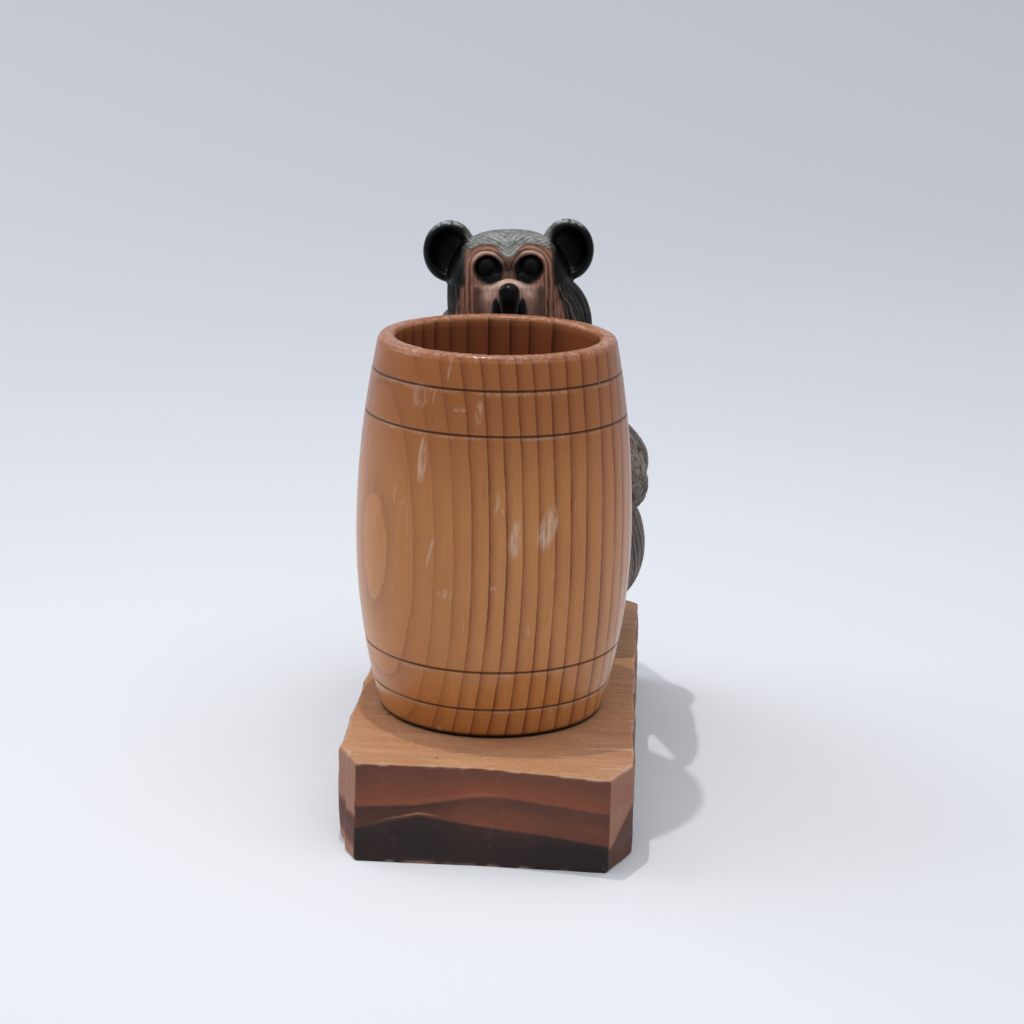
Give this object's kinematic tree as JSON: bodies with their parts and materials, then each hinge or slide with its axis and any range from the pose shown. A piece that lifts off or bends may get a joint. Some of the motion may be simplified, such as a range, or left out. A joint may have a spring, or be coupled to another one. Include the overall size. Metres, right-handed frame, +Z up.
{
  "type": "wooden bear figurine with barrel cup",
  "caption": "Carved wooden bear hugging a hollow turned barrel that serves as a pencil cup, both fixed on a hewn plank base.",
  "frame": {"origin": "on the underside of the plank, under its middle", "axes": "+Z up, +Y along the plank from the barrel to the bear, so the bear faces -Y; +X to the right of someone facing the barrel"},
  "size_m": [0.0875, 0.1704, 0.1554],
  "materials": {
    "hewn_softwood": "matte stained softwood, hewn ends",
    "varnished_softwood": "glossy clear varnish over honey softwood",
    "stained_carving": "black and brown stain with a dull varnish, worn on the ridges"
  },
  "bodies": {
    "root": {"plank_base": "hewn_softwood", "barrel": "varnished_softwood", "bear": "stained_carving"}
  },
  "joints": []
}
